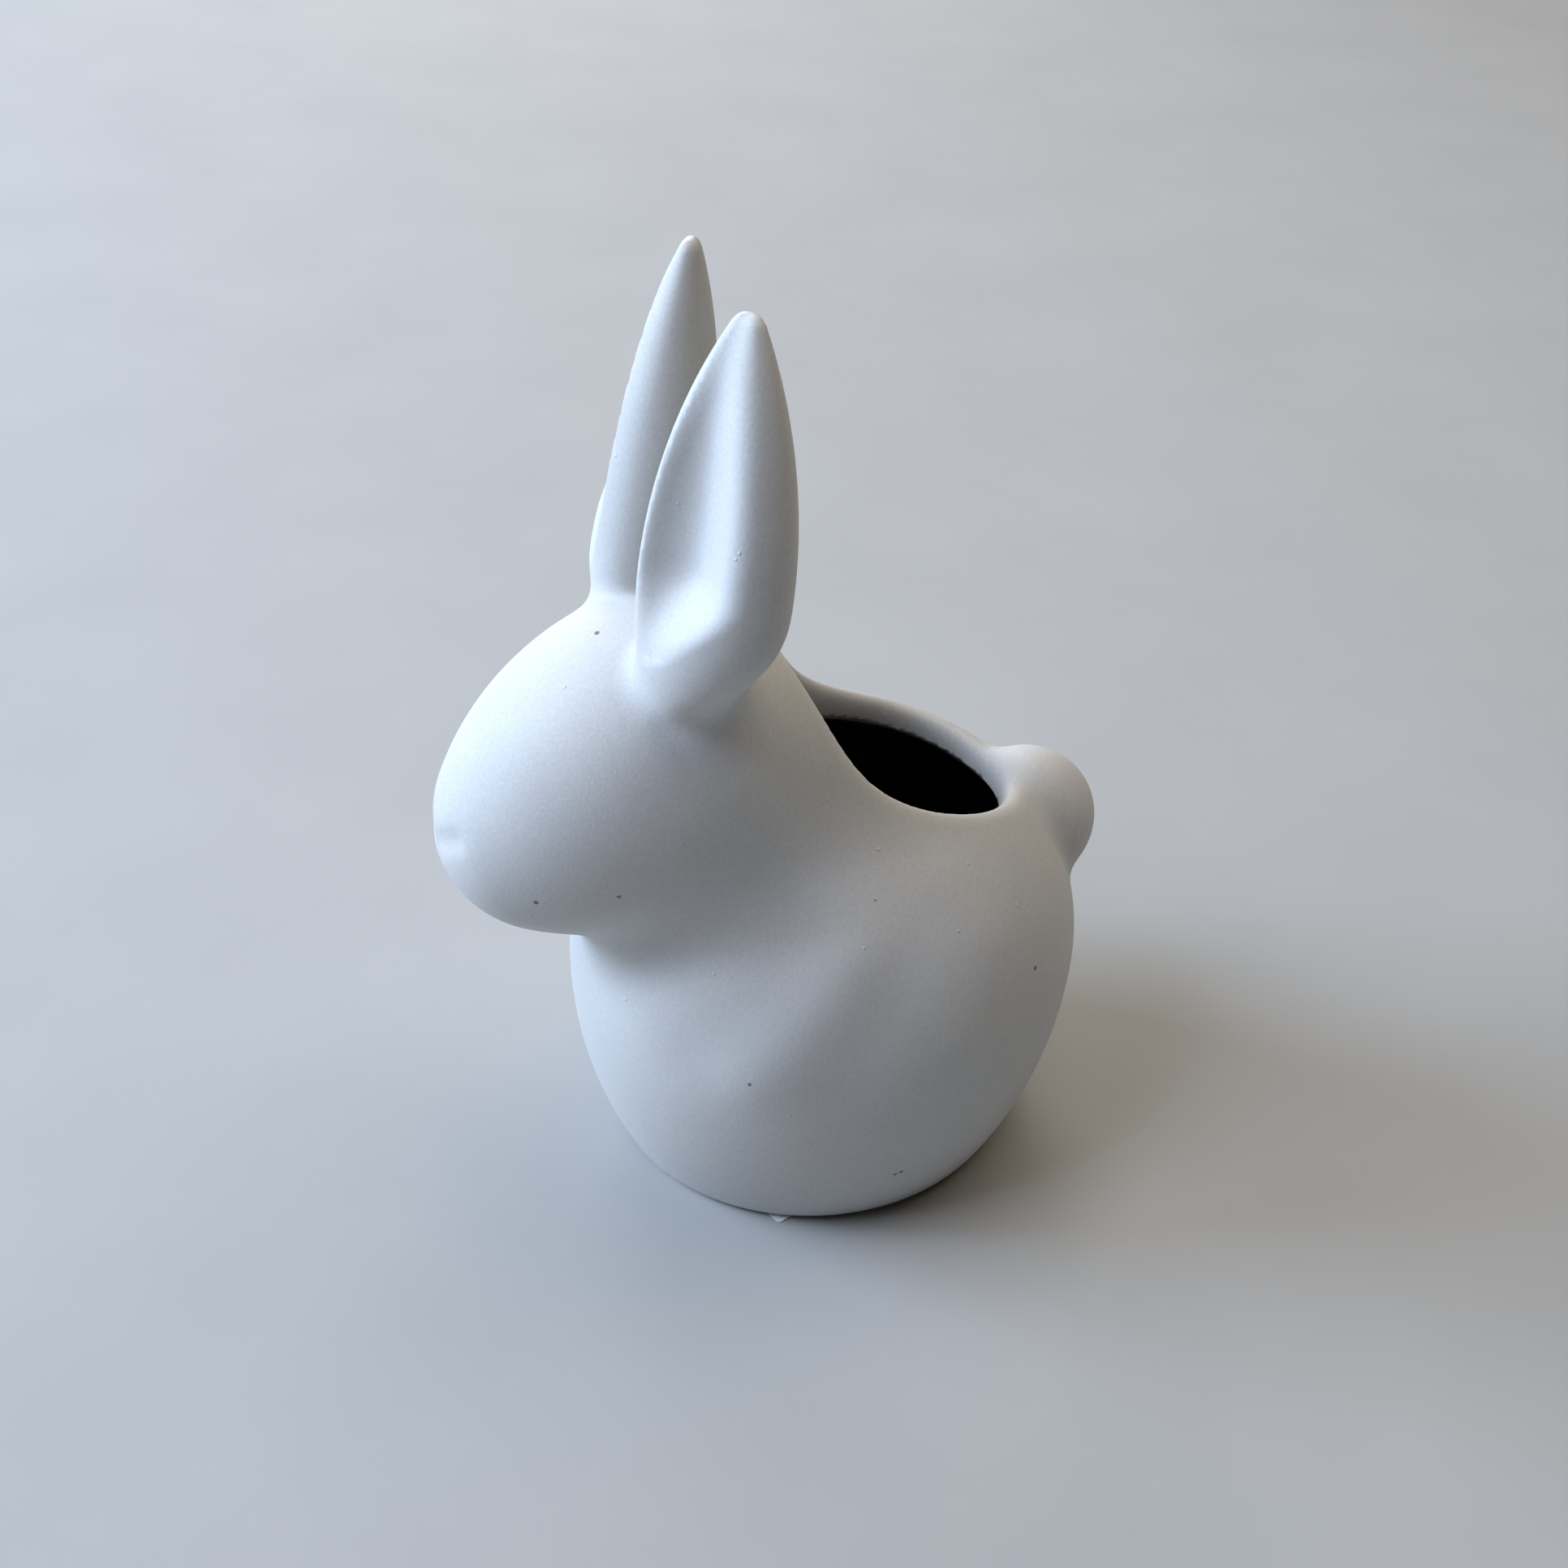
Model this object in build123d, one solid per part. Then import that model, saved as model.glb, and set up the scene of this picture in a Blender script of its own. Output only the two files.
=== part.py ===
from build123d import *
import math
import os

# Small white rabbit pot, bare clay outside, sitting, nose towards -Y, left side +X.
# The origin is the centre of the face it rests on. All lengths are millimetres.
# The forms are drawn round about their own axes, as they would be turned, and the
# finished pieces are narrowed across X, because the pot is slimmer than it is long.

# Body: an egg on a flat base, with a flank arc, a shoulder arc and a sloping crown
body_radius = 30.1
body_centre_y = -2.0
base_radius = 23.8
belly_height = 25.9
shoulder_radius = 28.5
shoulder_sweep = 52.0
width_share = 0.9

# Head: half a ball at the back, drawn out to a blunt nose that points down
head_radius = 18.1
head_length = 25.8
nose_radius = 13.3
head_stand = 7.35
head_droop = 25.8
neck_lean = 32.0

# Clay and glaze
wall = 3.4
floor_thickness = 4.0
glaze_thickness = 0.4
vent_radius = 1.5

# Slip: how far its edges run in under the skins, and the fillet between head and body
slip_tuck = 0.15
neck_fillet = 8.0

# Ears: flat spindles seated on the head, each with a thumbed hollow in its face
ear_half_width = 9.1
ear_half_depth = 6.0
ear_tip_length = 27.6
ear_tip_radius = 2.25
ear_root_length = 18.0
ear_root_radius = 4.0
ear_rise = 13.6
ear_seat_roll = 45.0
ear_seat_pitch = 1.5
ear_lean_in = 4.1
ear_lean_back = 6.8
ear_turn = 25.0
ear_fillet = 3.0
hollow_half_width = 5.6
hollow_up = 19.0
hollow_down = 15.0
hollow_tip_radius = 2.5
hollow_root_radius = 3.0
hollow_lift = 4.0
hollow_edge_radius = 1.5

# Tail: a ball let into the back, on a bed of slip
tail_radius = 8.8
tail_sink = 2.68
tail_rise = 28.2
tail_fillet = 3.0
tail_bed = 0.4

# Mouth: an oval opening in the back, tilted towards the tail
mouth_half_width = 12.0
mouth_half_length = 16.8
mouth_shift = -1.15
mouth_tilt = 13.4
mouth_clearance = 24.0
lip_radius = 1.5

# Label: a blank paper sticker under the base, with one corner past the base's edge
label_length = 34.0
label_width = 24.0
label_thickness = 0.15
label_turn = 22.0
label_shift_x = 2.4
label_corner_radius = 0.5

# Where an edge is tested for lying on a skin, and how near counts, as a share of the wall
test_shares = (0.2, 0.5, 0.8)
touch_share = 0.001


def arc_quarter(radius, length, end_radius, way):
    """Two tangent arcs from the side (radius, 0) to the end (0, way * length)."""
    side_radius = (length**2 - 2 * length * end_radius + radius**2) / (2 * (radius - end_radius))
    side_centre = Vector(radius - side_radius, 0)
    end_centre = Vector(0, length - end_radius)
    meet = side_centre + (end_centre - side_centre).normalized() * side_radius
    meet = Vector(meet.X, way * meet.Y)
    side = TangentArc((radius, 0), meet, tangent=(0, way))
    end = TangentArc(meet, (0, way * length), tangent=side % 1)
    return side + end


def turned(outline):
    """Solid turned about +Z from an outline drawn as (radius, height)."""
    return Rot(0, 0, 90) * revolve(make_face(Plane.XZ * outline), Axis.Z)


def body_form(inset, bottom):
    """The body's egg, inset from its skin and cut flat at the height bottom."""
    flank_drop = belly_height - label_thickness
    flank_step = body_radius - base_radius
    flank_radius = (flank_step**2 + flank_drop**2) / (2 * flank_step)
    flank_centre = body_radius - flank_radius
    low = bottom - belly_height
    low_radius = flank_centre + math.sqrt((flank_radius - inset) ** 2 - low**2)
    side = (body_radius - inset, belly_height)
    flank = TangentArc(side, (low_radius, bottom), tangent=(0, -1))
    sweep = math.radians(shoulder_sweep)
    shoulder_r = body_radius - shoulder_radius + (shoulder_radius - inset) * math.cos(sweep)
    shoulder_z = belly_height + (shoulder_radius - inset) * math.sin(sweep)
    shoulder = TangentArc(side, (shoulder_r, shoulder_z), tangent=(0, 1))
    top = shoulder_z + shoulder_r / math.tan(sweep)
    crown = Polyline((shoulder_r, shoulder_z), (0, top), (0, bottom), (low_radius, bottom))
    return Pos(0, body_centre_y, 0) * turned(flank + shoulder + crown)


def shoulder_centre(way):
    """Centre of the shoulder's arc on the side way along Y."""
    return Vector(0, body_centre_y + way * (body_radius - shoulder_radius), belly_height)


def neck_place():
    """Plane at the front shoulder's centre whose normal points to the head's centre."""
    lean = math.radians(neck_lean)
    way = (0, -math.sin(lean), math.cos(lean))
    return Plane(origin=shoulder_centre(-1), x_dir=(1, 0, 0), z_dir=way)


def head_place():
    """Plane at the head's centre whose normal points to the nose."""
    droop = math.radians(head_droop)
    centre = neck_place().origin + neck_place().z_dir * (shoulder_radius + head_stand)
    return Plane(origin=centre, x_dir=(1, 0, 0), z_dir=(0, -math.cos(droop), -math.sin(droop)))


def head_form(inset):
    """Nose cone on the front half of a ball, inset from the skin."""
    radius = head_radius - inset
    length = head_length - inset
    nose = arc_quarter(radius, length, nose_radius - inset, 1)
    nose += Polyline((0, length), (0, 0), (radius, 0))
    ball_place = Plane(origin=head_place().origin, x_dir=(1, 0, 0), z_dir=neck_place().z_dir)
    back_half = split(ball_place * Sphere(radius), bisect_by=head_place(), keep=Keep.BOTTOM)
    return head_place() * turned(nose) + back_half


def collar_form(radius, end_radius, span, slip_radius):
    """Waisted collar along +Z that rounds the crease between two balls, span apart."""
    low = radius - slip_tuck + slip_radius
    high = end_radius - slip_tuck + slip_radius
    along = (low**2 - high**2 + span**2) / (2 * span)
    centre = Vector(math.sqrt(low**2 - along**2), along)
    to_low = centre.normalized() * -1
    to_high = (Vector(0, span) - centre).normalized()
    foot = centre + to_low * slip_radius
    collar = centre + to_high * slip_radius
    waist = centre + (to_low + to_high).normalized() * slip_radius
    outline = ThreePointArc(foot, waist, collar)
    outline += Polyline(collar, (0, low), (0, foot.Y), foot)
    return turned(outline)


def ear_seat(side):
    """Point on the head's skin where an ear stands, on side +1 or -1."""
    roll = math.radians(ear_seat_roll)
    pitch = math.radians(ear_seat_pitch)
    way = Vector(side * math.sin(roll), math.sin(pitch), math.cos(roll)).normalized()
    return head_place().origin + way * head_radius


def ear_place(side):
    """Plane at an ear's widest section; its normal runs to the tip, Y to the back."""
    lean_in = math.tan(math.radians(ear_lean_in))
    lean_back = math.tan(math.radians(ear_lean_back))
    turn = math.radians(ear_turn)
    axis = Vector(-side * lean_in, lean_back, 1).normalized()
    facing = Vector(side * math.sin(turn), -math.cos(turn), 0)
    return Plane(origin=ear_seat(side) + axis * ear_rise, x_dir=axis.cross(facing), z_dir=axis)


def ear_form(side):
    """Flattened spindle with a hollow pressed in its front face."""
    spindle = arc_quarter(ear_half_width, ear_tip_length, ear_tip_radius, 1)
    spindle += arc_quarter(ear_half_width, ear_root_length, ear_root_radius, -1)
    spindle += Line((0, ear_tip_length), (0, -ear_root_length))
    thumb = arc_quarter(hollow_half_width, hollow_up, hollow_tip_radius, 1)
    thumb += arc_quarter(hollow_half_width, hollow_down, hollow_root_radius, -1)
    thumb += Line((0, hollow_up), (0, -hollow_down))
    blank = turned(spindle)
    press = Pos(0, -ear_half_width, hollow_lift) * Rot(0, 0, 180) * turned(thumb)
    pressed = blank - press
    pressed = fillet(shared_edges(pressed, blank, press), hollow_edge_radius)
    return ear_place(side) * scale(pressed, by=(1, ear_half_depth / ear_half_width, 1))


def tail_place():
    """Plane at the rear shoulder's centre whose normal points to the tail's centre."""
    rise = math.radians(tail_rise)
    way = (0, math.cos(rise), math.sin(rise))
    return Plane(origin=shoulder_centre(1), x_dir=(1, 0, 0), z_dir=way)


def tail_form():
    """Ball let into the back of the body."""
    return tail_place() * Pos(0, 0, shoulder_radius - tail_sink) * Sphere(tail_radius)


def mouth_form(grow):
    """Oval plug that cuts the mouth, from the middle of the body up, grown by a margin."""
    place = Pos(0, body_centre_y, belly_height) * Rot(-mouth_tilt, 0, 0) * Pos(0, mouth_shift, 0)
    oval = Ellipse(mouth_half_width + grow, mouth_half_length + grow)
    return place * extrude(oval, body_radius + mouth_clearance)


def vent_form():
    """Round pin through the body's wall under the head, which lets the head breathe."""
    return neck_place() * Pos(0, 0, shoulder_radius) * Cylinder(vent_radius, shoulder_radius)


def shared_edges(solid, first, second):
    """Edges of a solid that lie on the skins of both of the solids it came from."""
    near = wall * touch_share
    found = []
    for edge in solid.edges():
        points = [Vertex(edge.position_at(share)) for share in test_shares]
        on_first = max(min(face.distance_to(point) for face in first.faces()) for point in points)
        on_second = max(min(face.distance_to(point) for face in second.faces()) for point in points)
        if on_first < near and on_second < near:
            found.append(edge)
    return found


def slip_fillet(carrier, piece, radius):
    """The slip that rounds the crease where a piece stands on its carrier."""
    joined = carrier + piece
    smoothed = fillet(shared_edges(joined, carrier, piece), radius)
    return smoothed - joined


def body_block():
    """Solid body with the mouth cut and its lip rounded, before hollowing."""
    blank = body_form(0, label_thickness)
    plug = mouth_form(0)
    opened = blank - plug
    return fillet(shared_edges(opened, blank, plug), lip_radius)


def base_label():
    """Blank paper sticker that the pot stands on."""
    outline = RectangleRounded(label_width, label_length, label_corner_radius)
    place = Pos(label_shift_x, body_centre_y, 0) * Rot(0, 0, label_turn)
    return place * extrude(outline, label_thickness)


def make_pieces():
    """Every piece in the round, by name, still to be narrowed across X."""
    body = body_block()
    head = head_form(0)
    mouth = mouth_form(0)
    vent = vent_form()
    floor_height = label_thickness + floor_thickness
    room = body_form(wall, floor_height)
    lining = body_form(wall + glaze_thickness, floor_height + glaze_thickness)
    head_room = head_form(wall) - mouth_form(wall)
    plain_body = body_form(0, label_thickness)
    lip_room = mouth_form(lip_radius)
    tail_bed_form = body_form(-tail_bed, label_thickness)
    neck_span = shoulder_radius + head_stand
    neck_collar = neck_place() * collar_form(shoulder_radius, head_radius, neck_span, neck_fillet)
    tail_span = shoulder_radius - tail_sink
    tail_collar = tail_place() * collar_form(shoulder_radius, tail_radius, tail_span, tail_fillet)

    pieces = {}
    pieces["body_shell"] = body - room - vent
    pieces["inner_glaze"] = room - lining - mouth - vent
    pieces["head_shell"] = head - mouth - body - head_room
    pieces["neck_slip"] = neck_collar - body - head - mouth
    pieces["tail"] = tail_form() - tail_bed_form - lip_room
    pieces["tail_slip"] = tail_collar - plain_body - pieces["tail"] - lip_room
    for side, name in ((1, "left"), (-1, "right")):
        ear = ear_form(side)
        pieces["ear_" + name] = ear - head
        pieces["ear_" + name + "_slip"] = slip_fillet(head, ear, ear_fillet)
    return pieces


os.makedirs("parts", exist_ok=True)
for name, piece in make_pieces().items():
    export_step(scale(piece, by=(width_share, 1, 1)), "parts/" + name + ".step")
export_step(base_label(), "parts/base_label.step")
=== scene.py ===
"""Small matte white rabbit pot: its fired clay skin, glaze, sticker and studio.

Lengths are millimetres until a mesh, light or camera is made, which takes metres. The rabbit
faces -Y, its left side is +X, and its forms are drawn round and then narrowed across X.
"""

import math

import bpy
import numpy as np
from mathutils import Matrix, Vector


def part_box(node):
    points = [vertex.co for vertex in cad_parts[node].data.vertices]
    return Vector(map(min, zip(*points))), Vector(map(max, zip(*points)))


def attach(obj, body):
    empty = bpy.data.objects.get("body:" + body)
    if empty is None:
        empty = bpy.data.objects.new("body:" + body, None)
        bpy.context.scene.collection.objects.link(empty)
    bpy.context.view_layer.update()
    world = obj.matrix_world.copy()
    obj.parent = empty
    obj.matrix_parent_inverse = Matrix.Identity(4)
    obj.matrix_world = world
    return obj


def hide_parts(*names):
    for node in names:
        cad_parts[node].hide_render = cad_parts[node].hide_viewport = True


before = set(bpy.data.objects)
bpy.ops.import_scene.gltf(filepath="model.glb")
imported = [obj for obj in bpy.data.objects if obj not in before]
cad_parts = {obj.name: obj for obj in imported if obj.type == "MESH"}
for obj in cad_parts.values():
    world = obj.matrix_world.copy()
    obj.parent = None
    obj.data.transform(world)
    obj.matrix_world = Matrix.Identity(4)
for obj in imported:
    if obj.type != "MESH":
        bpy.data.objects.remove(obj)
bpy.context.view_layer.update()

metre_per_mm = 0.001

# Body: an egg on a flat base, with a flank arc, a shoulder arc and a sloping crown
width_share = 0.9
body_radius = 30.1
body_centre_y = -2.0
base_radius = 23.8
base_height = 0.15
belly_height = 25.9
shoulder_radius = 28.5
shoulder_sweep = 52.0
foot_rounding = 1.2

# Head: half a ball at the back, drawn out to a blunt nose that points down
head_radius = 18.1
head_length = 25.8
nose_radius = 13.3
head_stand = 7.35
head_droop = 25.8
neck_lean = 32.0

# Clay walls and the glaze on their inside
wall = 3.4
floor_thickness = 4.0
vent_radius = 1.5
glaze_thickness = 0.4

# Ears: flat spindles seated on the head
ear_half_width = 9.1
ear_half_depth = 6.0
ear_tip_length = 27.6
ear_tip_radius = 2.25
ear_root_length = 13.0
ear_root_radius = 7.5
ear_rise = 13.6
ear_seat_roll = 45.0
ear_seat_pitch = 1.5
ear_lean_in = 4.1
ear_lean_back = 6.8
ear_turn = 25.0

# Ear roots end higher at the back and outside, where the head falls away
root_slant_length = 17.4
root_slant_out = 0.65
root_slant_back = 0.39

# Ear hollows: a leaf thumbed in each face, rounded above and pointed at the root, deeper
# along its inner side
hollow_depth = 4.5
hollow_middle = 3.0
hollow_rise = 24.0
hollow_fall = 8.4
hollow_share = 0.7
hollow_skew_share = 0.4
hollow_drift_share = 0.3
hollow_point_share = 0.35
hollow_round_power = 2.5
hollow_edge = 2.0

# Where the leaf's rise, fall, drift and width stop counting, and how fast its ends close
hollow_rise_limit = 2.0
hollow_fall_limit = 3.0
hollow_drift_limit = 1.2
hollow_across_limit = 1.8
hollow_end_slope = 8.0

# Tail: a ball let into the back
tail_radius = 8.8
tail_sink = 2.68
tail_rise = 28.2

# Mouth: an egg-shaped opening in the back, tilted towards the tail and blunter there
mouth_half_width = 12.0
mouth_half_length = 16.3
mouth_shift = -0.96
mouth_blunt = 2.0
mouth_tilt = 13.4
lip_rounding = 3.0

# Glaze edge, where its painted shade begins: how far below the mouth it stops, and how it waves
# round the room
glaze_gap = 1.9
glaze_waves = ((3, 0.25, 0.8), (7, 0.12, 2.1), (12, 0.07, 4.0))
glaze_edge_round = 0.8
glaze_columns = 240
glaze_rows = 48

# Slip: how far each crease is filled, and how wide and deep its slip reaches
nape_fill = 14.5
chin_fill = 7.0
neck_slip_reach = 8.0
ear_front_fill = 2.5
ear_back_fill = 8.0
ear_fill_turn = 12.0
ear_slip_reach = 2.5
tail_fill = 1.8
tail_slip_reach = 1.7
slip_depth = 0.8

# Hand modelling on both sides: a stroke's ends, its width and how far it raises the clay
thumb_strokes = (
    # Front of the foreleg, and its shoulder
    ((22.5, -8.4, 41.0), (22.6, -18.5, 27.4), 4.5, 0.3),
    ((18.1, 2.3, 47.2), (21.4, -7.5, 43.1), 4.5, 0.2),
    # Dips before and behind the foreleg
    ((20.2, -13.0, 42.0), (18.5, -23.5, 29.0), 4.5, -0.35),
    ((21.5, -0.7, 44.4), (26.3, -9.0, 27.2), 4.5, -0.35),
    # Haunch
    ((23.5, 8.0, 40.0), (25.5, 4.0, 30.0), 6.0, 0.4),
    # Notch under the nose
    ((1.6, -47.1, 50.9), (4.6, -46.0, 53.0), 1.3, -0.4),
)

# Skins are meshed on a grid of this pitch and drawn on to the exact surface
grid_pitch = 0.5
slope_step = 0.02
draw_rounds = 4

# How deep the middle of a border face is pressed into the clay
pit_depth = 0.15

# How far each grid reaches past its piece's solid: slips and ears spread further in the scene
grid_margin = 2.0
root_margin = 5.0
neck_margin = 13.0
ear_margin = 12.0
ear_least_radius = 0.5
face_least_share = 0.02
far_away = 99.0

# Pinholes: where they show, and how wide they are; their dark colour is painted shade
pinhole_radius = 0.35
pinhole_spots = (
    (0.5, -29.4, 73.1),
    (14.8, -31.2, 50.2),
    (11.2, -39.0, 48.5),
    (21.2, 14.8, 34.2),
    (22.5, -18.8, 27.3),
    (25.1, -0.8, 10.3),
    (24.9, -1.5, 10.1),
)

# Camera, as the photograph was taken: where it looks, from how far and at what angle
camera_target = (0.97, -8.43, 50.0)
camera_distance = 224.07
camera_azimuth = 68.52
camera_elevation = 36.87
camera_roll = 3.28
focal_share = 2500 / 1932
sensor_width = 36.0


def direction(x, y, z):
    """Unit vector as an array."""
    found = np.array([x, y, z], float)
    return found / np.linalg.norm(found)


def soften_union(first, second, reach):
    """Union of two forms with the crease between them filled over a reach."""
    near = np.maximum(reach - np.abs(first - second), 0) / reach
    return np.minimum(first, second) - near * near * reach / 4


def soften_cut(first, second, reach):
    """Intersection of two forms with its edge rounded over a reach."""
    return -soften_union(-first, -second, reach)


def ease(share):
    """Share from 0 to 1 that starts and ends gently."""
    share = np.clip(share, 0, 1)
    return share * share * (3 - 2 * share)


def arc_quarter(r, z, radius, length, end_radius):
    """Distance to two tangent arcs from the side (radius, 0) to the end (0, length)."""
    side_radius = (length**2 - 2 * length * end_radius + radius**2) / (2 * (radius - end_radius))
    centre_r = radius - side_radius
    centre_z = length - end_radius
    turn = (r - centre_r) * centre_z + z * centre_r
    to_side = np.hypot(r - centre_r, z) - side_radius
    to_end = np.hypot(r, z - centre_z) - end_radius
    on_side = turn > 0 if side_radius > end_radius else turn < 0
    return np.where(on_side, to_side, to_end)


def spindle(p, radius, up, up_radius, down, down_radius):
    """Distance to a spindle about Z, drawn to a rounded tip above and below."""
    r = np.hypot(p[..., 0], p[..., 1])
    z = p[..., 2]
    above = arc_quarter(r, z, radius, up, up_radius)
    below = arc_quarter(r, -z, radius, down, down_radius)
    return np.where(z >= 0, above, below)


def arc_radius(z, radius, length, end_radius):
    """Radius of the same two arcs at a height."""
    side_radius = (length**2 - 2 * length * end_radius + radius**2) / (2 * (radius - end_radius))
    centre_r = radius - side_radius
    centre_z = length - end_radius
    meet = side_radius * centre_z / math.hypot(centre_r, centre_z)
    side = centre_r + np.sqrt(np.maximum(side_radius**2 - z**2, 0))
    end = np.sqrt(np.maximum(end_radius**2 - (z - centre_z)**2, 0))
    return np.where(z < meet, side, end)


def body_form(p, inset=0.0):
    """Distance to the body's egg, inset from its skin."""
    r = np.hypot(p[..., 0], p[..., 1] - body_centre_y)
    z = p[..., 2] - belly_height
    drop = belly_height - base_height
    step = body_radius - base_radius
    flank_radius = (step**2 + drop**2) / (2 * step)
    flank = np.hypot(r - body_radius + flank_radius, z) - flank_radius
    shoulder_r = r - body_radius + shoulder_radius
    shoulder = np.hypot(shoulder_r, z) - shoulder_radius
    sweep = math.radians(shoulder_sweep)
    out, up = math.cos(sweep), math.sin(sweep)
    crown = shoulder_r * out + z * up - shoulder_radius
    above = np.where(shoulder_r * up - z * out > 0, shoulder, crown)
    return np.where(z < 0, flank, above) + inset


def shoulder_centre(way):
    """Centre of the shoulder's arc on the side way along Y."""
    return np.array([0, body_centre_y + way * (body_radius - shoulder_radius), belly_height])


def neck_way():
    """Direction in which the head stands off the body."""
    lean = math.radians(neck_lean)
    return np.array([0, -math.sin(lean), math.cos(lean)])


def head_centre():
    return shoulder_centre(-1) + neck_way() * (shoulder_radius + head_stand)


def head_form(p, inset=0.0):
    """Distance to the head, inset from its skin."""
    droop = math.radians(head_droop)
    q = p - head_centre()
    ahead = -q[..., 1] * math.cos(droop) - q[..., 2] * math.sin(droop)
    over = q[..., 2] * math.cos(droop) - q[..., 1] * math.sin(droop)
    r = np.hypot(q[..., 0], over)
    nose = arc_quarter(r, ahead, head_radius, head_length, nose_radius)
    return np.where(ahead >= 0, nose, np.hypot(r, ahead) - head_radius) + inset


def ear_axes(side):
    """Widest point of an ear on side +1 or -1, and its axes: across, back and up."""
    roll, pitch = math.radians(ear_seat_roll), math.radians(ear_seat_pitch)
    seat_way = direction(side * math.sin(roll), math.sin(pitch), math.cos(roll))
    lean_in = math.tan(math.radians(ear_lean_in))
    lean_back = math.tan(math.radians(ear_lean_back))
    turn = math.radians(ear_turn)
    up = direction(-side * lean_in, lean_back, 1)
    facing = np.array([side * math.sin(turn), -math.cos(turn), 0])
    back = -(facing - up * (facing @ up))
    back /= np.linalg.norm(back)
    centre = head_centre() + seat_way * head_radius + up * ear_rise
    return centre, np.cross(back, up), back, up


def leaf_hollow(local, side, flat):
    """How far points stand in front of the leaf that a thumb pressed in an ear's face."""
    z = local[..., 2]
    above = arc_radius(z, ear_half_width, ear_tip_length, ear_tip_radius)
    below = arc_radius(-z, ear_half_width, ear_root_length, ear_root_radius)
    r = np.maximum(np.where(z >= 0, above, below), ear_least_radius)
    share = local[..., 0] * side / r
    rise = np.clip((z - hollow_middle) / hollow_rise, 0, hollow_rise_limit)
    fall = np.clip((hollow_middle - z) / hollow_fall, 0, hollow_fall_limit)
    drift = hollow_drift_share * np.minimum(fall, hollow_drift_limit)**2
    across = (share + drift) / hollow_share
    across = np.clip(across, -hollow_across_limit, hollow_across_limit)
    ends = rise**hollow_round_power
    ends += (1 + hollow_point_share) * fall**3 / (hollow_point_share + fall**2)
    leaf = (1 - ends - across**2) * (1 - hollow_skew_share * across)
    face = -r * np.sqrt(np.maximum(1 - share**2, face_least_share))
    deep = hollow_depth * flat * r / ear_half_width
    return face + deep * leaf - local[..., 1] - hollow_end_slope * np.maximum(ends - 1, 0)


def ear_form(p, side):
    """Distance to an ear with its hollow, worked out only near the ear."""
    centre, across, back, up = ear_axes(side)
    q = p - centre
    along = q @ up
    near = (along > -ear_root_length - ear_margin) & (along < ear_tip_length + ear_margin)
    near &= np.linalg.norm(q - along[..., None] * up, axis=-1) < ear_half_width + ear_margin
    found = np.full(p.shape[:-1], far_away)

    def shape(points):
        local = points - centre
        flat = ear_half_width / ear_half_depth
        local = np.stack([local @ across, (local @ back) * flat, local @ up], -1)
        slant = root_slant_out * side * local[..., 0] + root_slant_back * local[..., 1]
        local[..., 2] -= slant * ease(-local[..., 2] / root_slant_length)
        blank = spindle(local, ear_half_width, ear_tip_length, ear_tip_radius,
                        ear_root_length, ear_root_radius)
        return soften_cut(blank, leaf_hollow(local, side, flat), hollow_edge)

    inside = p[near]
    value, slope = value_and_slope(shape, inside)
    found[near] = value / np.maximum(np.linalg.norm(slope, axis=-1), slope_step)
    return found


def ear_root_fill(p, side):
    """How far the crease at an ear's root is filled: more at the back and outside."""
    centre, across, back, up = ear_axes(side)
    behind = (p - centre) @ back + (p - centre) @ across * side
    return ear_front_fill + (ear_back_fill - ear_front_fill) * ease(behind / ear_fill_turn + 0.5)


def neck_fill(p):
    """How far the crease at the neck is filled: little under the chin, more at the nape."""
    lean = math.radians(neck_lean)
    behind = (p - head_centre()) @ np.array([0, math.cos(lean), math.sin(lean)])
    return chin_fill + (nape_fill - chin_fill) * ease(behind / (2 * head_radius) + 0.5)


def tail_form(p):
    """Distance to the tail's ball."""
    rise = math.radians(tail_rise)
    way = np.array([0, math.cos(rise), math.sin(rise)])
    centre = shoulder_centre(1) + way * (shoulder_radius - tail_sink)
    return np.linalg.norm(p - centre, axis=-1) - tail_radius


def mouth_form(p):
    """Distance to the egg-shaped plug that cuts the mouth, from the body's middle up."""
    tilt = math.radians(mouth_tilt)
    q = p - np.array([0, body_centre_y, belly_height])
    along = q[..., 1] * math.cos(tilt) - q[..., 2] * math.sin(tilt) - mouth_shift - mouth_blunt
    above = q[..., 1] * math.sin(tilt) + q[..., 2] * math.cos(tilt)
    length = np.where(along < 0, mouth_half_length + mouth_blunt, mouth_half_length - mouth_blunt)
    oval = np.hypot(q[..., 0] / mouth_half_width, along / length) - 1
    return np.maximum(oval * mouth_half_width, -above)


def vent_form(p):
    """Distance to the small round hole from the body's room to the head's."""
    q = p - shoulder_centre(-1)
    along = q @ neck_way()
    across = np.linalg.norm(q - along[..., None] * neck_way(), axis=-1)
    ends = np.abs(along - shoulder_radius) - wall - vent_radius
    return np.maximum(across - vent_radius, ends)


def modelling(points):
    """How far the modeller's strokes raise the clay."""
    mirrored = points * 1.0
    mirrored[..., 0] = np.abs(mirrored[..., 0])
    raised = 0
    for start, end, width, rise in thumb_strokes:
        start, end = np.array(start), np.array(end)
        run = end - start
        share = np.clip((mirrored - start) @ run / (run @ run), 0, 1)
        apart = ((mirrored - start - share[..., None] * run)**2).sum(-1)
        raised = raised + rise * np.exp(-apart / width**2)
    return raised


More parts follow.
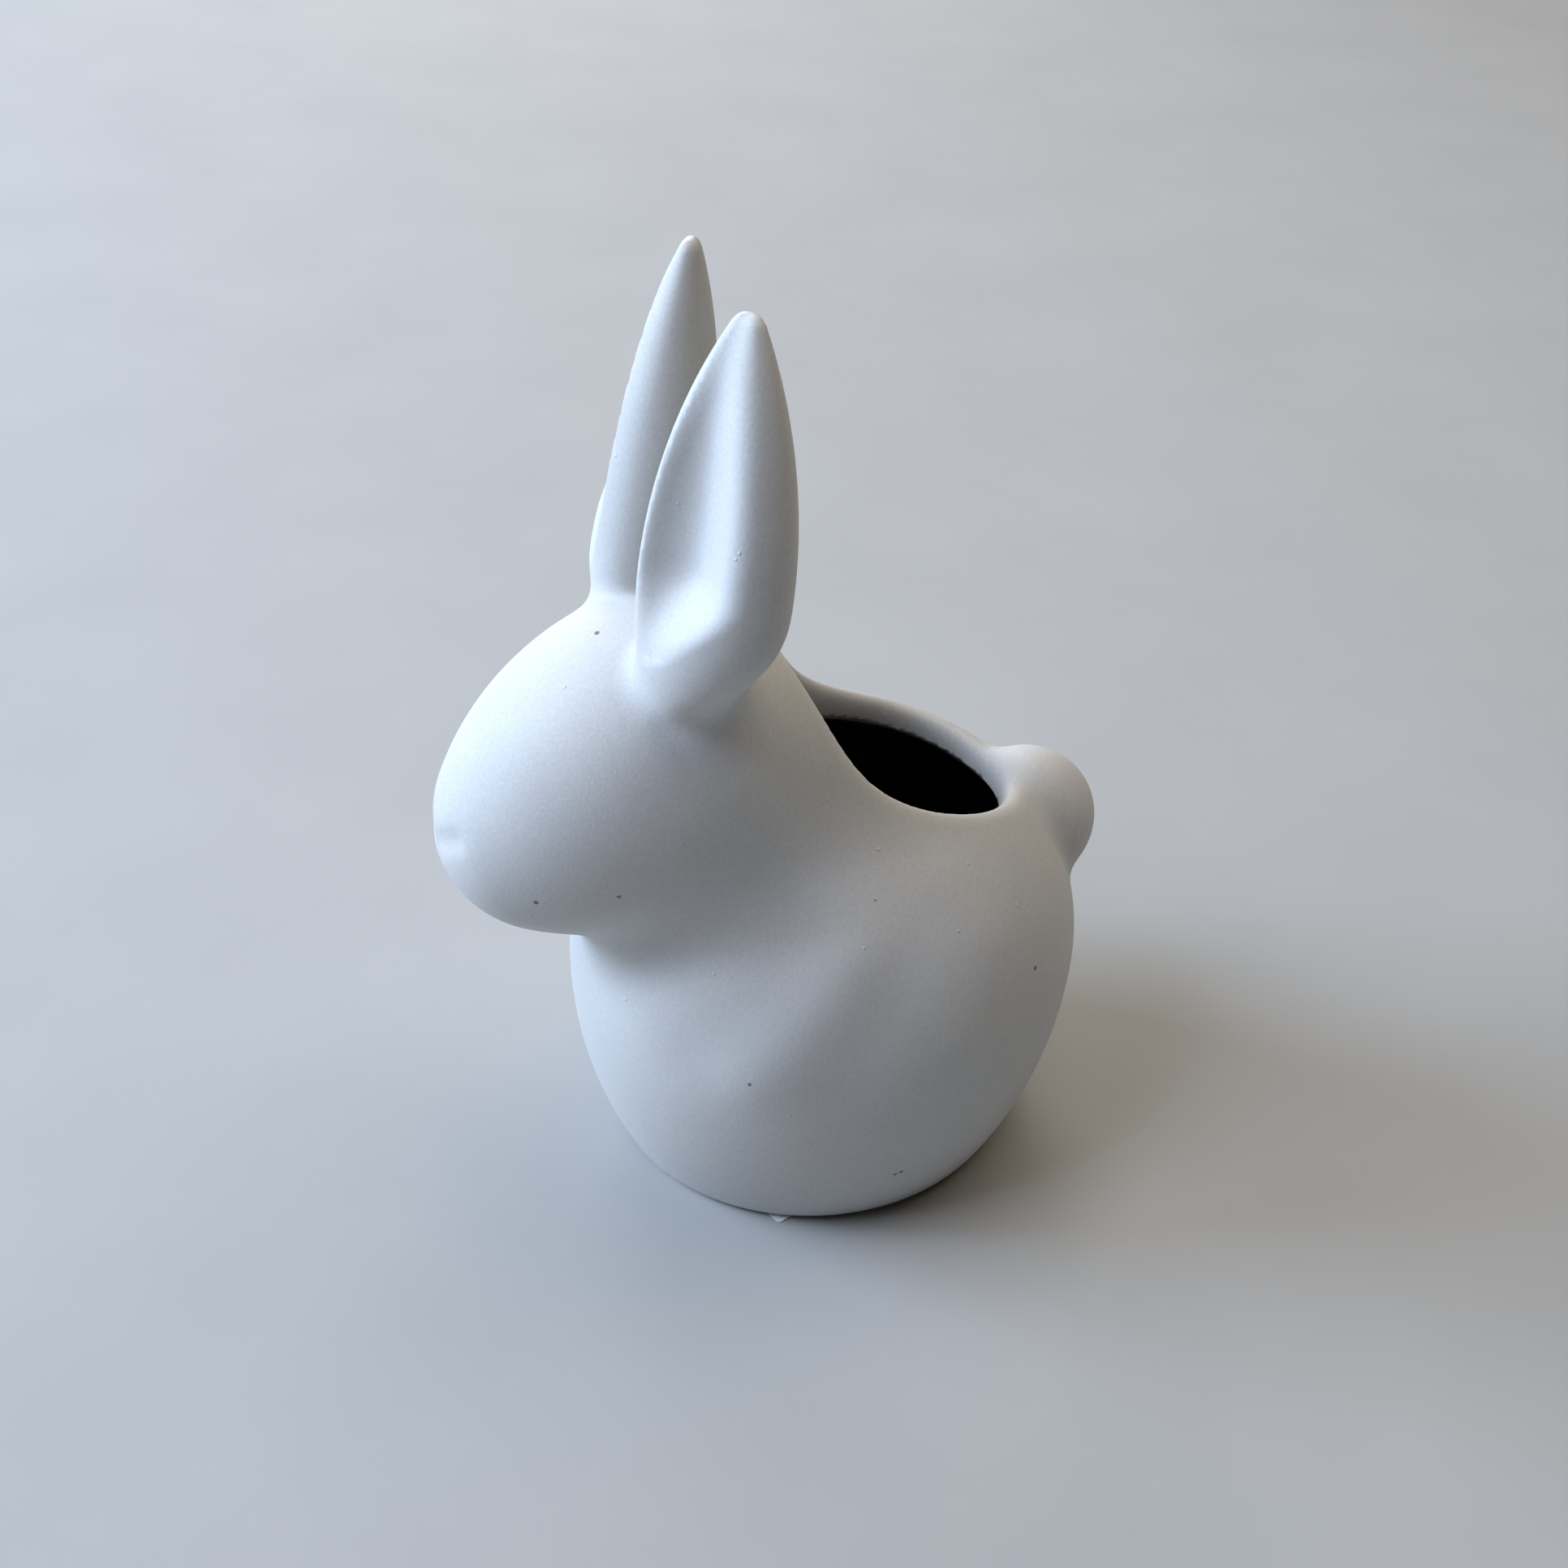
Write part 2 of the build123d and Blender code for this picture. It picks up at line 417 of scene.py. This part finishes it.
def survey(points):
    """Distances from points to every form the clay is built of, by name."""
    p = points / np.array([width_share, 1, 1])
    found = {"body": body_form(p), "head": head_form(p), "tail": tail_form(p)}
    found["across"] = p[..., 0]
    found["trunk"] = soften_union(found["body"], found["head"], neck_fill(p))
    found["earless"] = soften_union(found["trunk"], found["tail"], tail_fill)
    skin = found["earless"]
    for side, name in ((1, "ear_left"), (-1, "ear_right")):
        found[name] = ear_form(p, side)
        skin = soften_union(skin, found[name], ear_root_fill(p, side))
    floor = base_height + floor_thickness - p[..., 2]
    room = np.maximum(body_form(p, wall), floor)
    mouth = mouth_form(p)
    skin = soften_cut(skin - modelling(points), -np.minimum(room, mouth), lip_rounding)
    found["skin"] = soften_cut(skin, base_height - p[..., 2], foot_rounding)
    found["vent"] = vent_form(p)
    found["head_room"] = np.maximum(head_form(p, wall), wall - mouth)
    return found


def carrier_land(carrier, rider, reach):
    """Where clay belongs to the piece that carries, not to its slip or rider."""
    return np.minimum(carrier + slip_depth, reach - rider + carrier)


def slip_land(carrier, rider, reach):
    """Where clay belongs to the slip in the crease."""
    return np.maximum(np.abs(rider - carrier) - reach, -np.minimum(carrier, rider) - slip_depth)


def rider_land(carrier, rider, reach):
    """Where clay belongs to the piece that is stuck on."""
    held = np.minimum(carrier_land(carrier, rider, reach), slip_land(carrier, rider, reach))
    return -held


def under_ears(s):
    left = carrier_land(s["earless"], s["ear_left"], ear_slip_reach)
    right = carrier_land(s["earless"], s["ear_right"], ear_slip_reach)
    return np.maximum(left, right)


def under_tail(s):
    return carrier_land(s["trunk"], s["tail"], tail_slip_reach)


def body_shell(s):
    land = carrier_land(s["body"], s["head"], neck_slip_reach)
    land = np.maximum(land, under_tail(s))
    return np.maximum(s["skin"], -s["vent"]), np.maximum(land, under_ears(s))


def head_shell(s):
    land = rider_land(s["body"], s["head"], neck_slip_reach)
    return np.maximum(s["skin"], -s["head_room"]), np.maximum(land, under_ears(s))


def neck_slip(s):
    land = slip_land(s["body"], s["head"], neck_slip_reach)
    return s["skin"], np.maximum(land, under_ears(s))


def tail(s):
    return s["skin"], rider_land(s["trunk"], s["tail"], tail_slip_reach)


def tail_slip(s):
    return s["skin"], slip_land(s["trunk"], s["tail"], tail_slip_reach)


def ear_left(s):
    land = rider_land(s["earless"], s["ear_left"], ear_slip_reach)
    return s["skin"], np.maximum(land, -s["across"])


def ear_right(s):
    land = rider_land(s["earless"], s["ear_right"], ear_slip_reach)
    return s["skin"], np.maximum(land, s["across"])


def ear_left_slip(s):
    land = slip_land(s["earless"], s["ear_left"], ear_slip_reach)
    return s["skin"], np.maximum(land, -s["across"])


def ear_right_slip(s):
    land = slip_land(s["earless"], s["ear_right"], ear_slip_reach)
    return s["skin"], np.maximum(land, s["across"])


clay_pieces = (body_shell, head_shell, neck_slip, tail, tail_slip,
               ear_left, ear_right, ear_left_slip, ear_right_slip)


def value_and_slope(form, points):
    """A form's distance at points and how it changes along X, Y and Z."""
    value = form(points)
    slope = np.zeros(points.shape)
    for axis in range(3):
        step = np.zeros(3)
        step[axis] = slope_step
        slope[..., axis] = (form(points + step) - form(points - step)) / (2 * slope_step)
    return value, slope


def outward(form, points):
    """Unit vectors straight out of a form at points."""
    slope = value_and_slope(form, points)[1]
    return slope / np.maximum(np.linalg.norm(slope, axis=-1, keepdims=True), slope_step)


def draw_on(form, points):
    """Moves points along the form's slope on to its surface."""
    for _ in range(draw_rounds):
        value, slope = value_and_slope(form, points)
        steep = np.maximum((slope**2).sum(-1), slope_step)
        points = points - np.clip(value / steep, -grid_pitch, grid_pitch)[..., None] * slope
    return points


def draw_on_edge(first, second, points):
    """Moves points on to the edge where two surfaces meet."""
    for _ in range(2 * draw_rounds):
        value_a, slope_a = value_and_slope(first, points)
        value_b, slope_b = value_and_slope(second, points)
        aa, bb = (slope_a**2).sum(-1), (slope_b**2).sum(-1)
        ab = (slope_a * slope_b).sum(-1)
        spare = np.maximum(aa * bb - ab**2, slope_step)
        share_a = (value_a * bb - value_b * ab) / spare
        share_b = (value_b * aa - value_a * ab) / spare
        move = share_a[..., None] * slope_a + share_b[..., None] * slope_b
        length = np.linalg.norm(move, axis=-1, keepdims=True)
        points = points - move * np.minimum(1, grid_pitch / np.maximum(length, slope_step))
    return points


def corner_spread(values):
    """Smallest and largest value at the eight corners of every grid cell."""
    low = high = values
    for axis in range(3):
        near = [slice(None)] * 3
        far = [slice(None)] * 3
        near[axis], far[axis] = slice(None, -1), slice(1, None)
        low = np.minimum(low[tuple(near)], low[tuple(far)])
        high = np.maximum(high[tuple(near)], high[tuple(far)])
    return low, high


def across_edges(axis):
    """Slices that take the two ends of every inner grid edge along an axis."""
    near = [slice(1, -1)] * 3
    far = [slice(1, -1)] * 3
    near[axis], far[axis] = slice(None, -1), slice(1, None)
    return tuple(near), tuple(far)


def quads_between(number, skin, land):
    """Faces between the numbered grid cells, and for each if it is outer skin."""
    whole = np.maximum(skin, land)
    faces, outer = [], []
    for axis in range(3):
        u, v = (axis + 1) % 3, (axis + 2) % 3
        near, far = across_edges(axis)
        for inner, outside, order in ((near, far, 1), (far, near, -1)):
            crossing = (whole[inner] < 0) & (whole[outside] >= 0)
            cells = np.argwhere(crossing)
            cells[:, [u, v]] += 1
            ring = []
            for step_u, step_v in ((1, 1), (0, 1), (0, 0), (1, 0)):
                cell = cells.copy()
                cell[:, u] -= step_u
                cell[:, v] -= step_v
                ring.append(number[tuple(cell.T)])
            faces.append(np.stack(ring[::order], -1))
            outer.append((skin[outside] >= 0)[crossing])
    return np.concatenate(faces), np.concatenate(outer)


def crossing_points(values, cells, first):
    """Middle of the points at which a value turns positive on each cell's edges."""
    total, count = np.zeros((len(cells), 3)), np.zeros(len(cells))
    for axis in range(3):
        u, v = (axis + 1) % 3, (axis + 2) % 3
        for step_u in (0, 1):
            for step_v in (0, 1):
                start = cells.copy()
                start[:, u] += step_u
                start[:, v] += step_v
                end = start.copy()
                end[:, axis] += 1
                here, there = values[tuple(start.T)], values[tuple(end.T)]
                turns = (here < 0) != (there < 0)
                share = np.where(turns, here / np.where(turns, here - there, 1), 0)
                point = start.astype(float)
                point[:, axis] += share
                total += turns[:, None] * point
                count += turns
    return (total / np.maximum(count, 1)[:, None] + first) * grid_pitch


def own_forms(piece):
    """A piece's skin and the border of its land, as functions of points."""
    return lambda p: piece(survey(p))[0], lambda p: piece(survey(p))[1]


def grid_skin(node, piece, margin):
    """Closed skin of a piece: points, faces, which faces are outer skin, pits and forms."""
    low, high = (np.array(corner) / metre_per_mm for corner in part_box(node))
    first = np.floor((low - margin) / grid_pitch)
    count = (np.ceil((high + margin) / grid_pitch) - first).astype(int)
    steps = np.meshgrid(*[np.arange(n) for n in count], indexing="ij")
    corners = (np.stack(steps, -1) + first) * grid_pitch
    fields = survey(corners)
    skin, land = piece(fields)
    holding = np.stack([corner_spread(other(fields)[1])[0] < 0 for other in clay_pieces])

    crossed, on_skin, on_land = (
        (low < 0) & (high >= 0)
        for low, high in map(corner_spread, (np.maximum(skin, land), skin, land))
    )
    number = np.full(crossed.shape, -1)
    number[crossed] = np.arange(crossed.sum())
    middles = corners[:-1, :-1, :-1][crossed] + grid_pitch / 2
    cells = np.argwhere(crossed)

    on_skin, on_land, holding = on_skin[crossed], on_land[crossed], holding[:, crossed]
    skin_form, land_form = own_forms(piece)
    placed = crossing_points(skin, cells, first)
    placed[~on_skin] = crossing_points(land, cells, first)[~on_skin]
    starts = placed * 1.0

    def keep(chosen, moved):
        """Takes the moved points that stay in their own cells, so that no face folds."""
        kept = np.abs(moved - middles[chosen]).max(-1) <= grid_pitch / 2
        placed[chosen[kept]] = moved[kept]

    for form, chosen in ((skin_form, on_skin), (land_form, ~on_skin)):
        keep(np.flatnonzero(chosen), draw_on(form, starts[chosen]))
    # A seam between two pieces is drawn from the first one's forms, so that both share it
    seam = on_skin & on_land & (holding.sum(0) == 2)
    first_holder = holding.argmax(0)
    for rank in np.unique(first_holder[seam]):
        chosen = np.flatnonzero(seam & (first_holder == rank))
        keep(chosen, draw_on_edge(*own_forms(clay_pieces[rank]), starts[chosen]))
    faces, outer = quads_between(number, skin, land)
    # Border faces that lie flat under the skin are pressed in, so that none shows through
    flat = ~outer & (on_skin[faces].sum(1) >= 3)
    rims = faces[flat]
    pits = placed[rims].mean(1)
    pits = pits - pit_depth * outward(skin_form, pits)
    bottoms = np.broadcast_to(len(placed) + np.arange(len(pits))[:, None], rims.shape)
    pit_sides = np.stack([rims, np.roll(rims, -1, axis=1), bottoms], -1).reshape(-1, 3)
    placed = np.concatenate([placed, pits])
    return placed, faces[~flat], outer[~flat], pit_sides, (skin_form, land_form)


def put_in_place(mesh, node, material):
    """A finished mesh as a piece that stands for its node and rides on the pot."""
    mesh.polygons.foreach_set("use_smooth", [True] * len(mesh.polygons))
    mesh.materials.append(material)
    piece = bpy.data.objects.new(mesh.name, mesh)
    bpy.context.scene.collection.objects.link(piece)
    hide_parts(node)
    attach(piece, "root")


def make_skin(piece, material, margin=grid_margin):
    """A piece's closed skin, smooth across its seams, in place of its plain node."""
    node = piece.__name__
    points, faces, outer, pit_sides, forms = grid_skin(node, piece, margin)
    # Outer skin and borders have corners of their own, so that each corner has one normal
    faces = np.where(outer[:, None], faces, faces + len(points))
    corners = np.concatenate([faces.ravel(), pit_sides.ravel() + len(points)])
    used, corners = np.unique(corners, return_inverse=True)
    normals = np.concatenate([outward(form, points) for form in forms])[used]
    points = np.concatenate([points, points])[used]
    faces, pit_sides = corners[:faces.size], corners[faces.size:]
    faces = faces.reshape(-1, 4).tolist() + pit_sides.reshape(-1, 3).tolist()
    mesh = bpy.data.meshes.new(node + "_skin")
    mesh.from_pydata((points * metre_per_mm).tolist(), [], faces)
    put_in_place(mesh, node, material)
    mesh.normals_split_custom_set_from_vertices(normals.tolist())


def room_outline(inset):
    """The room's outline as radius and height, from the floor's middle over the flank and
    shoulder to the top of the crown, inset from the body's skin."""
    bottom = base_height + floor_thickness + inset - wall
    step = body_radius - base_radius
    drop = belly_height - base_height
    flank_radius = (step**2 + drop**2) / (2 * step)
    low = math.asin((bottom - belly_height) / (flank_radius - inset))
    turn = np.linspace(low, 0, glaze_rows)
    flank_r = body_radius - flank_radius + (flank_radius - inset) * np.cos(turn)
    flank_z = belly_height + (flank_radius - inset) * np.sin(turn)
    turn = np.linspace(0, math.radians(shoulder_sweep), glaze_rows)[1:]
    shoulder_r = body_radius - shoulder_radius + (shoulder_radius - inset) * np.cos(turn)
    shoulder_z = belly_height + (shoulder_radius - inset) * np.sin(turn)
    crown = np.linspace(1, 0, glaze_rows)[1:]
    crown_r = shoulder_r[-1] * crown
    crown_z = shoulder_z[-1] + (shoulder_r[-1] - crown_r) / math.tan(turn[-1])
    floor_r = np.linspace(0, flank_r[0], glaze_rows)[:-1]
    r = np.concatenate([floor_r, flank_r, shoulder_r, crown_r])
    z = np.concatenate([floor_r * 0 + bottom, flank_z, shoulder_z, crown_z])
    return r, z


def glaze_point(r, z, turn):
    """Point of the round forms at a radius and height, turned about the body."""
    return np.stack([r * np.sin(turn), body_centre_y - r * np.cos(turn), z], -1)


def glaze_mesh():
    """Closed lining of glaze whose upper edge waves below the mouth and thins out."""
    wall_r, wall_z = room_outline(wall)
    face_r, face_z = room_outline(wall + glaze_thickness)
    belly = int(np.argmax(wall_r))
    steps = np.arange(len(wall_r))
    rows = []
    for turn in np.linspace(0, 2 * math.pi, glaze_columns, endpoint=False):
        wave = sum(high * math.sin(count * turn + phase) for count, high, phase in glaze_waves)
        clear = mouth_form(glaze_point(wall_r, wall_z, turn)) - glaze_gap - wave
        last = belly + int(np.argmax(clear[belly:] < 0)) - 1
        end = last + clear[last] / (clear[last] - clear[last + 1])
        near = 1 - np.linspace(1, 0, 2 * glaze_rows)**2
        at = np.concatenate([steps[:belly], belly + (end - belly) * near])
        r, z = np.interp(at, steps, wall_r), np.interp(at, steps, wall_z)
        run = np.hypot(r - r[-1], z - z[-1])
        thin = np.sqrt(1 - np.clip(1 - run / glaze_edge_round, 0, 1)**2)
        inner_r = r + thin * (np.interp(at, steps, face_r) - r)
        inner_z = z + thin * (np.interp(at, steps, face_z) - z)
        ring_r = np.concatenate([r[1:], inner_r[-2:0:-1]])
        ring_z = np.concatenate([z[1:], inner_z[-2:0:-1]])
        rows.append(glaze_point(ring_r, ring_z, turn))
    rows = np.array(rows) * np.array([width_share, 1, 1])
    columns, count = rows.shape[:2]
    ends = glaze_point(np.zeros(2), np.array([wall_z[0], face_z[0]]), 0)
    points = np.concatenate([rows.reshape(-1, 3), ends])
    here = np.arange(columns * count).reshape(columns, count)
    beside = np.roll(here, -1, axis=0)
    quads = np.stack([here[:, :-1], beside[:, :-1], beside[:, 1:], here[:, 1:]], -1)
    faces = quads.reshape(-1, 4).tolist()
    under, over = len(points) - 2, len(points) - 1
    faces += [(under, b, a) for a, b in zip(here[:, 0], beside[:, 0])]
    faces += [(over, a, b) for a, b in zip(here[:, -1], beside[:, -1])]
    mesh = bpy.data.meshes.new("inner_glaze_lining")
    mesh.from_pydata((points * metre_per_mm).tolist(), [], [list(map(int, f)) for f in faces])
    return mesh


def linear(hex_colour):
    """An sRGB hex colour as linear red, green, blue and alpha."""
    parts = [int(hex_colour[at:at + 2], 16) / 255 for at in (1, 3, 5)]
    bright = [p / 12.92 if p <= 0.04045 else ((p + 0.055) / 1.055) ** 2.4 for p in parts]
    return (*bright, 1.0)


def add_node(tree, kind, inputs=None, **settings):
    """Adds a shader node, sets it up and feeds its inputs with values or outputs."""
    made = tree.nodes.new(kind)
    for name, value in settings.items():
        setattr(made, name, value)
    for name, value in (inputs or {}).items():
        if isinstance(value, bpy.types.NodeSocket):
            tree.links.new(value, made.inputs[name])
        else:
            made.inputs[name].default_value = value
    return made


def new_material(name):
    """An empty material and its node tree."""
    made = bpy.data.materials.new(name)
    made.use_nodes = True
    made.node_tree.nodes.clear()
    return made, made.node_tree


def per_metre(size_mm):
    """Texture scale for features of a size in millimetres."""
    return 1 / (size_mm * metre_per_mm)


def sprinkle(tree, place, apart, radius, share):
    """Height from 0 to 1 of small round dots, a radius wide, scattered at about apart."""
    cells = add_node(tree, "ShaderNodeTexVoronoi", {"Vector": place, "Scale": per_metre(apart)})
    dot = add_node(tree, "ShaderNodeMapRange",
                   {"Value": cells.outputs["Distance"], "From Min": radius / apart,
                    "From Max": 0.4 * radius / apart}, interpolation_type="SMOOTHSTEP")
    chance = add_node(tree, "ShaderNodeSeparateColor", {"Color": cells.outputs["Color"]})
    chosen = add_node(tree, "ShaderNodeMath", {0: chance.outputs["Red"], 1: share},
                      operation="LESS_THAN")
    return add_node(tree, "ShaderNodeMath", {0: dot.outputs["Result"],
                                             1: chosen.outputs["Value"]},
                    operation="MULTIPLY").outputs["Value"]


def pinhole_map(tree, place):
    """Height from 0 to 1 of the pinholes that air bubbles left, each where it shows; it also masks
    their painted shade.
    """
    total = sprinkle(tree, place, 9.0, 0.2, 0.5)
    for spot in pinhole_spots:
        away = add_node(tree, "ShaderNodeVectorMath",
                        {0: place, 1: [length * metre_per_mm for length in spot]},
                        operation="DISTANCE")
        hole = add_node(tree, "ShaderNodeMapRange",
                        {"Value": away.outputs["Value"],
                         "From Min": pinhole_radius * metre_per_mm,
                         "From Max": 0.5 * pinhole_radius * metre_per_mm})
        total = add_node(tree, "ShaderNodeMath", {0: total, 1: hole.outputs["Result"]},
                         operation="MAXIMUM").outputs["Value"]
    return total


def bisque_porcelain():
    """Slip-cast white bisque, fired bare and rubbed smooth: chalky with a faint satin, a
    fine grain, small raised nodules and a few pinholes, darkened with painted shade."""
    made, tree = new_material("white_bisque_cast")
    place = add_node(tree, "ShaderNodeTexCoord").outputs["Object"]
    cloud = add_node(tree, "ShaderNodeTexNoise",
                     {"Vector": place, "Scale": per_metre(9.0), "Detail": 3.0})
    # The grain of fine grog is near 0.1 mm, drawn at 0.35 mm so that it shows
    grain = add_node(tree, "ShaderNodeTexNoise",
                     {"Vector": place, "Scale": per_metre(0.35), "Detail": 4.0})
    nodules = sprinkle(tree, place, 3.0, 0.25, 0.6)
    pinholes = pinhole_map(tree, place)
    tint = add_node(tree, "ShaderNodeMix",
                    {"Factor": cloud.outputs["Fac"], "A": linear("#D0D1D1"),
                     "B": linear("#DAD9D6")}, data_type="RGBA")
    speck = add_node(tree, "ShaderNodeMapRange",
                     {"Value": grain.outputs["Fac"], "From Min": 0.3, "From Max": 0.7,
                      "To Min": 0.93, "To Max": 1.04})
    paler = add_node(tree, "ShaderNodeMath", {0: nodules, 1: 0.08, 2: speck.outputs["Result"]},
                     operation="MULTIPLY_ADD")
    # Pinholes are darkened in colour: painted shade inside the tiny pits
    darker = add_node(tree, "ShaderNodeMath", {0: pinholes, 1: -0.75, 2: paler.outputs["Value"]},
                      operation="MULTIPLY_ADD")
    colour = add_node(tree, "ShaderNodeVectorMath",
                      {0: tint.outputs["Result"], "Scale": darker.outputs["Value"]},
                      operation="SCALE")
    rough = add_node(tree, "ShaderNodeMath", {0: grain.outputs["Fac"], 1: 0.4, 2: nodules},
                     operation="MULTIPLY_ADD")
    height = add_node(tree, "ShaderNodeMath", {0: rough.outputs["Value"], 1: pinholes},
                      operation="SUBTRACT")
    relief = add_node(tree, "ShaderNodeBump",
                      {"Height": height.outputs["Value"], "Strength": 1.0,
                       "Distance": 0.06 * metre_per_mm})
    clay = add_node(tree, "ShaderNodeBsdfPrincipled",
                    {"Base Color": colour.outputs["Vector"], "Roughness": 0.62,
                     "IOR": 1.5, "Normal": relief.outputs["Normal"]})
    add_node(tree, "ShaderNodeOutputMaterial", {"Surface": clay.outputs["BSDF"]})
    return made


def dark_glaze():
    """Glaze poured round the inside and fired to a gloss, coloured near black as painted shade for
    the dark deep room.
    """
    made, tree = new_material("glaze_painted_shade_black")
    place = add_node(tree, "ShaderNodeTexCoord").outputs["Object"]
    flow = add_node(tree, "ShaderNodeTexNoise",
                    {"Vector": place, "Scale": per_metre(4.0), "Detail": 2.0})
    relief = add_node(tree, "ShaderNodeBump",
                      {"Height": flow.outputs["Fac"], "Strength": 0.4,
                       "Distance": 0.1 * metre_per_mm})
    glass = add_node(tree, "ShaderNodeBsdfPrincipled",
                     # Near black: painted shade standing for the dark inside of the deep room
                     {"Base Color": linear("#060606"), "Roughness": 0.3, "IOR": 1.5,
                      "Normal": relief.outputs["Normal"]})
    add_node(tree, "ShaderNodeOutputMaterial", {"Surface": glass.outputs["BSDF"]})
    return made


def label_paper():
    """White sticker paper, uncoated, with the faint tooth of its fibres."""
    made, tree = new_material("white_label_paper")
    place = add_node(tree, "ShaderNodeTexCoord").outputs["Object"]
    fibre = add_node(tree, "ShaderNodeTexNoise",
                     {"Vector": place, "Scale": per_metre(0.4), "Detail": 3.0})
    relief = add_node(tree, "ShaderNodeBump",
                      {"Height": fibre.outputs["Fac"], "Strength": 0.3,
                       "Distance": 0.02 * metre_per_mm})
    paper = add_node(tree, "ShaderNodeBsdfPrincipled",
                     {"Base Color": linear("#F4F4F0"), "Roughness": 0.7, "IOR": 1.45,
                      "Normal": relief.outputs["Normal"]})
    add_node(tree, "ShaderNodeOutputMaterial", {"Surface": paper.outputs["BSDF"]})
    return made


def pale_floor():
    """Plain pale floor, slightly mottled."""
    made, tree = new_material("pale_floor")
    place = add_node(tree, "ShaderNodeTexCoord").outputs["Object"]
    mottle = add_node(tree, "ShaderNodeTexNoise",
                      {"Vector": place, "Scale": per_metre(30.0), "Detail": 4.0})
    tint = add_node(tree, "ShaderNodeMix",
                    {"Factor": mottle.outputs["Fac"], "A": linear("#AAAAA8"),
                     "B": linear("#B4B4B1")}, data_type="RGBA")
    matt = add_node(tree, "ShaderNodeBsdfPrincipled",
                    {"Base Color": tint.outputs["Result"], "Roughness": 0.9})
    add_node(tree, "ShaderNodeOutputMaterial", {"Surface": matt.outputs["BSDF"]})
    size = 2.0
    mesh = bpy.data.meshes.new("floor")
    corners = [(-size, -size, 0), (size, -size, 0), (size, size, 0), (-size, size, 0)]
    mesh.from_pydata(corners, [], [(0, 1, 2, 3)])
    mesh.materials.append(made)
    floor = bpy.data.objects.new("floor", mesh)
    bpy.context.scene.collection.objects.link(floor)


def camera_axes():
    """The photograph's axes in the scene: right, up and back to the camera."""
    azimuth, elevation, roll = map(math.radians, (camera_azimuth, camera_elevation, camera_roll))
    back = Vector((math.sin(azimuth) * math.cos(elevation),
                   -math.cos(azimuth) * math.cos(elevation), math.sin(elevation)))
    level = Vector((math.cos(azimuth), math.sin(azimuth), 0))
    upright = back.cross(level)
    right = level * math.cos(roll) + upright * math.sin(roll)
    return right, back.cross(right), back


def place_camera():
    """Camera at the photograph's place, angle and lens."""
    right, up, back = camera_axes()
    data = bpy.data.cameras.new("photo_camera")
    data.sensor_width = sensor_width
    data.lens = focal_share * sensor_width
    data.clip_start, data.clip_end = 0.01, 20
    camera = bpy.data.objects.new("photo_camera", data)
    eye = (Vector(camera_target) + back * camera_distance) * metre_per_mm
    camera.matrix_world = Matrix.Translation(eye) @ Matrix((right, up, back)).transposed().to_4x4()
    bpy.context.scene.collection.objects.link(camera)
    bpy.context.scene.camera = camera


def soft_light(name, way, distance, size, watts, colour):
    """Square soft light that shines on the pot from a direction."""
    data = bpy.data.lights.new(name, "AREA")
    data.shape = "SQUARE"
    data.size = size
    data.energy = watts
    data.color = linear(colour)[:3]
    light = bpy.data.objects.new(name, data)
    way = way.normalized()
    middle = Vector(camera_target) * metre_per_mm
    light.location = middle + way * distance
    light.rotation_mode = "QUATERNION"
    light.rotation_quaternion = way.to_track_quat("Z", "Y")
    bpy.context.scene.collection.objects.link(light)


def light_studio():
    """Cool key from the photograph's left, a cool window nearer the camera, a pale rim from
    behind, a broad warm light above and dim surroundings."""
    right, up, back = camera_axes()
    soft_light("window_key", up * 0.42 - right * 0.86 + back * 0.20, 0.9, 0.45, 10.6, "#CCE2FF")
    soft_light("window_near", up * 0.5 - right * 0.5 + back * 0.7, 0.9, 0.30, 3.4, "#DCE8FF")
    soft_light("far_rim", up * 0.79 - right * 0.2 - back * 0.59, 0.9, 0.40, 3.0, "#F4F6FF")
    soft_light("warm_top", up * 0.90 + right * 0.28 + back * 0.33, 0.9, 0.90, 5.0, "#FFF3E2")
    world = bpy.data.worlds.new("studio")
    world.use_nodes = True
    surround = world.node_tree.nodes["Background"]
    surround.inputs["Color"].default_value = linear("#E8D2B0")
    surround.inputs["Strength"].default_value = 0.03
    bpy.context.scene.world = world
    bpy.context.scene.view_settings.view_transform = "Standard"


bisque = bisque_porcelain()
for piece in (body_shell, head_shell, tail):
    make_skin(piece, bisque)
for piece in (tail_slip, ear_left, ear_right, ear_left_slip, ear_right_slip):
    make_skin(piece, bisque, root_margin)
make_skin(neck_slip, bisque, neck_margin)
put_in_place(glaze_mesh(), "inner_glaze", dark_glaze())
paper = label_paper()
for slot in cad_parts["base_label"].material_slots:
    slot.material = paper
pale_floor()
place_camera()
light_studio()
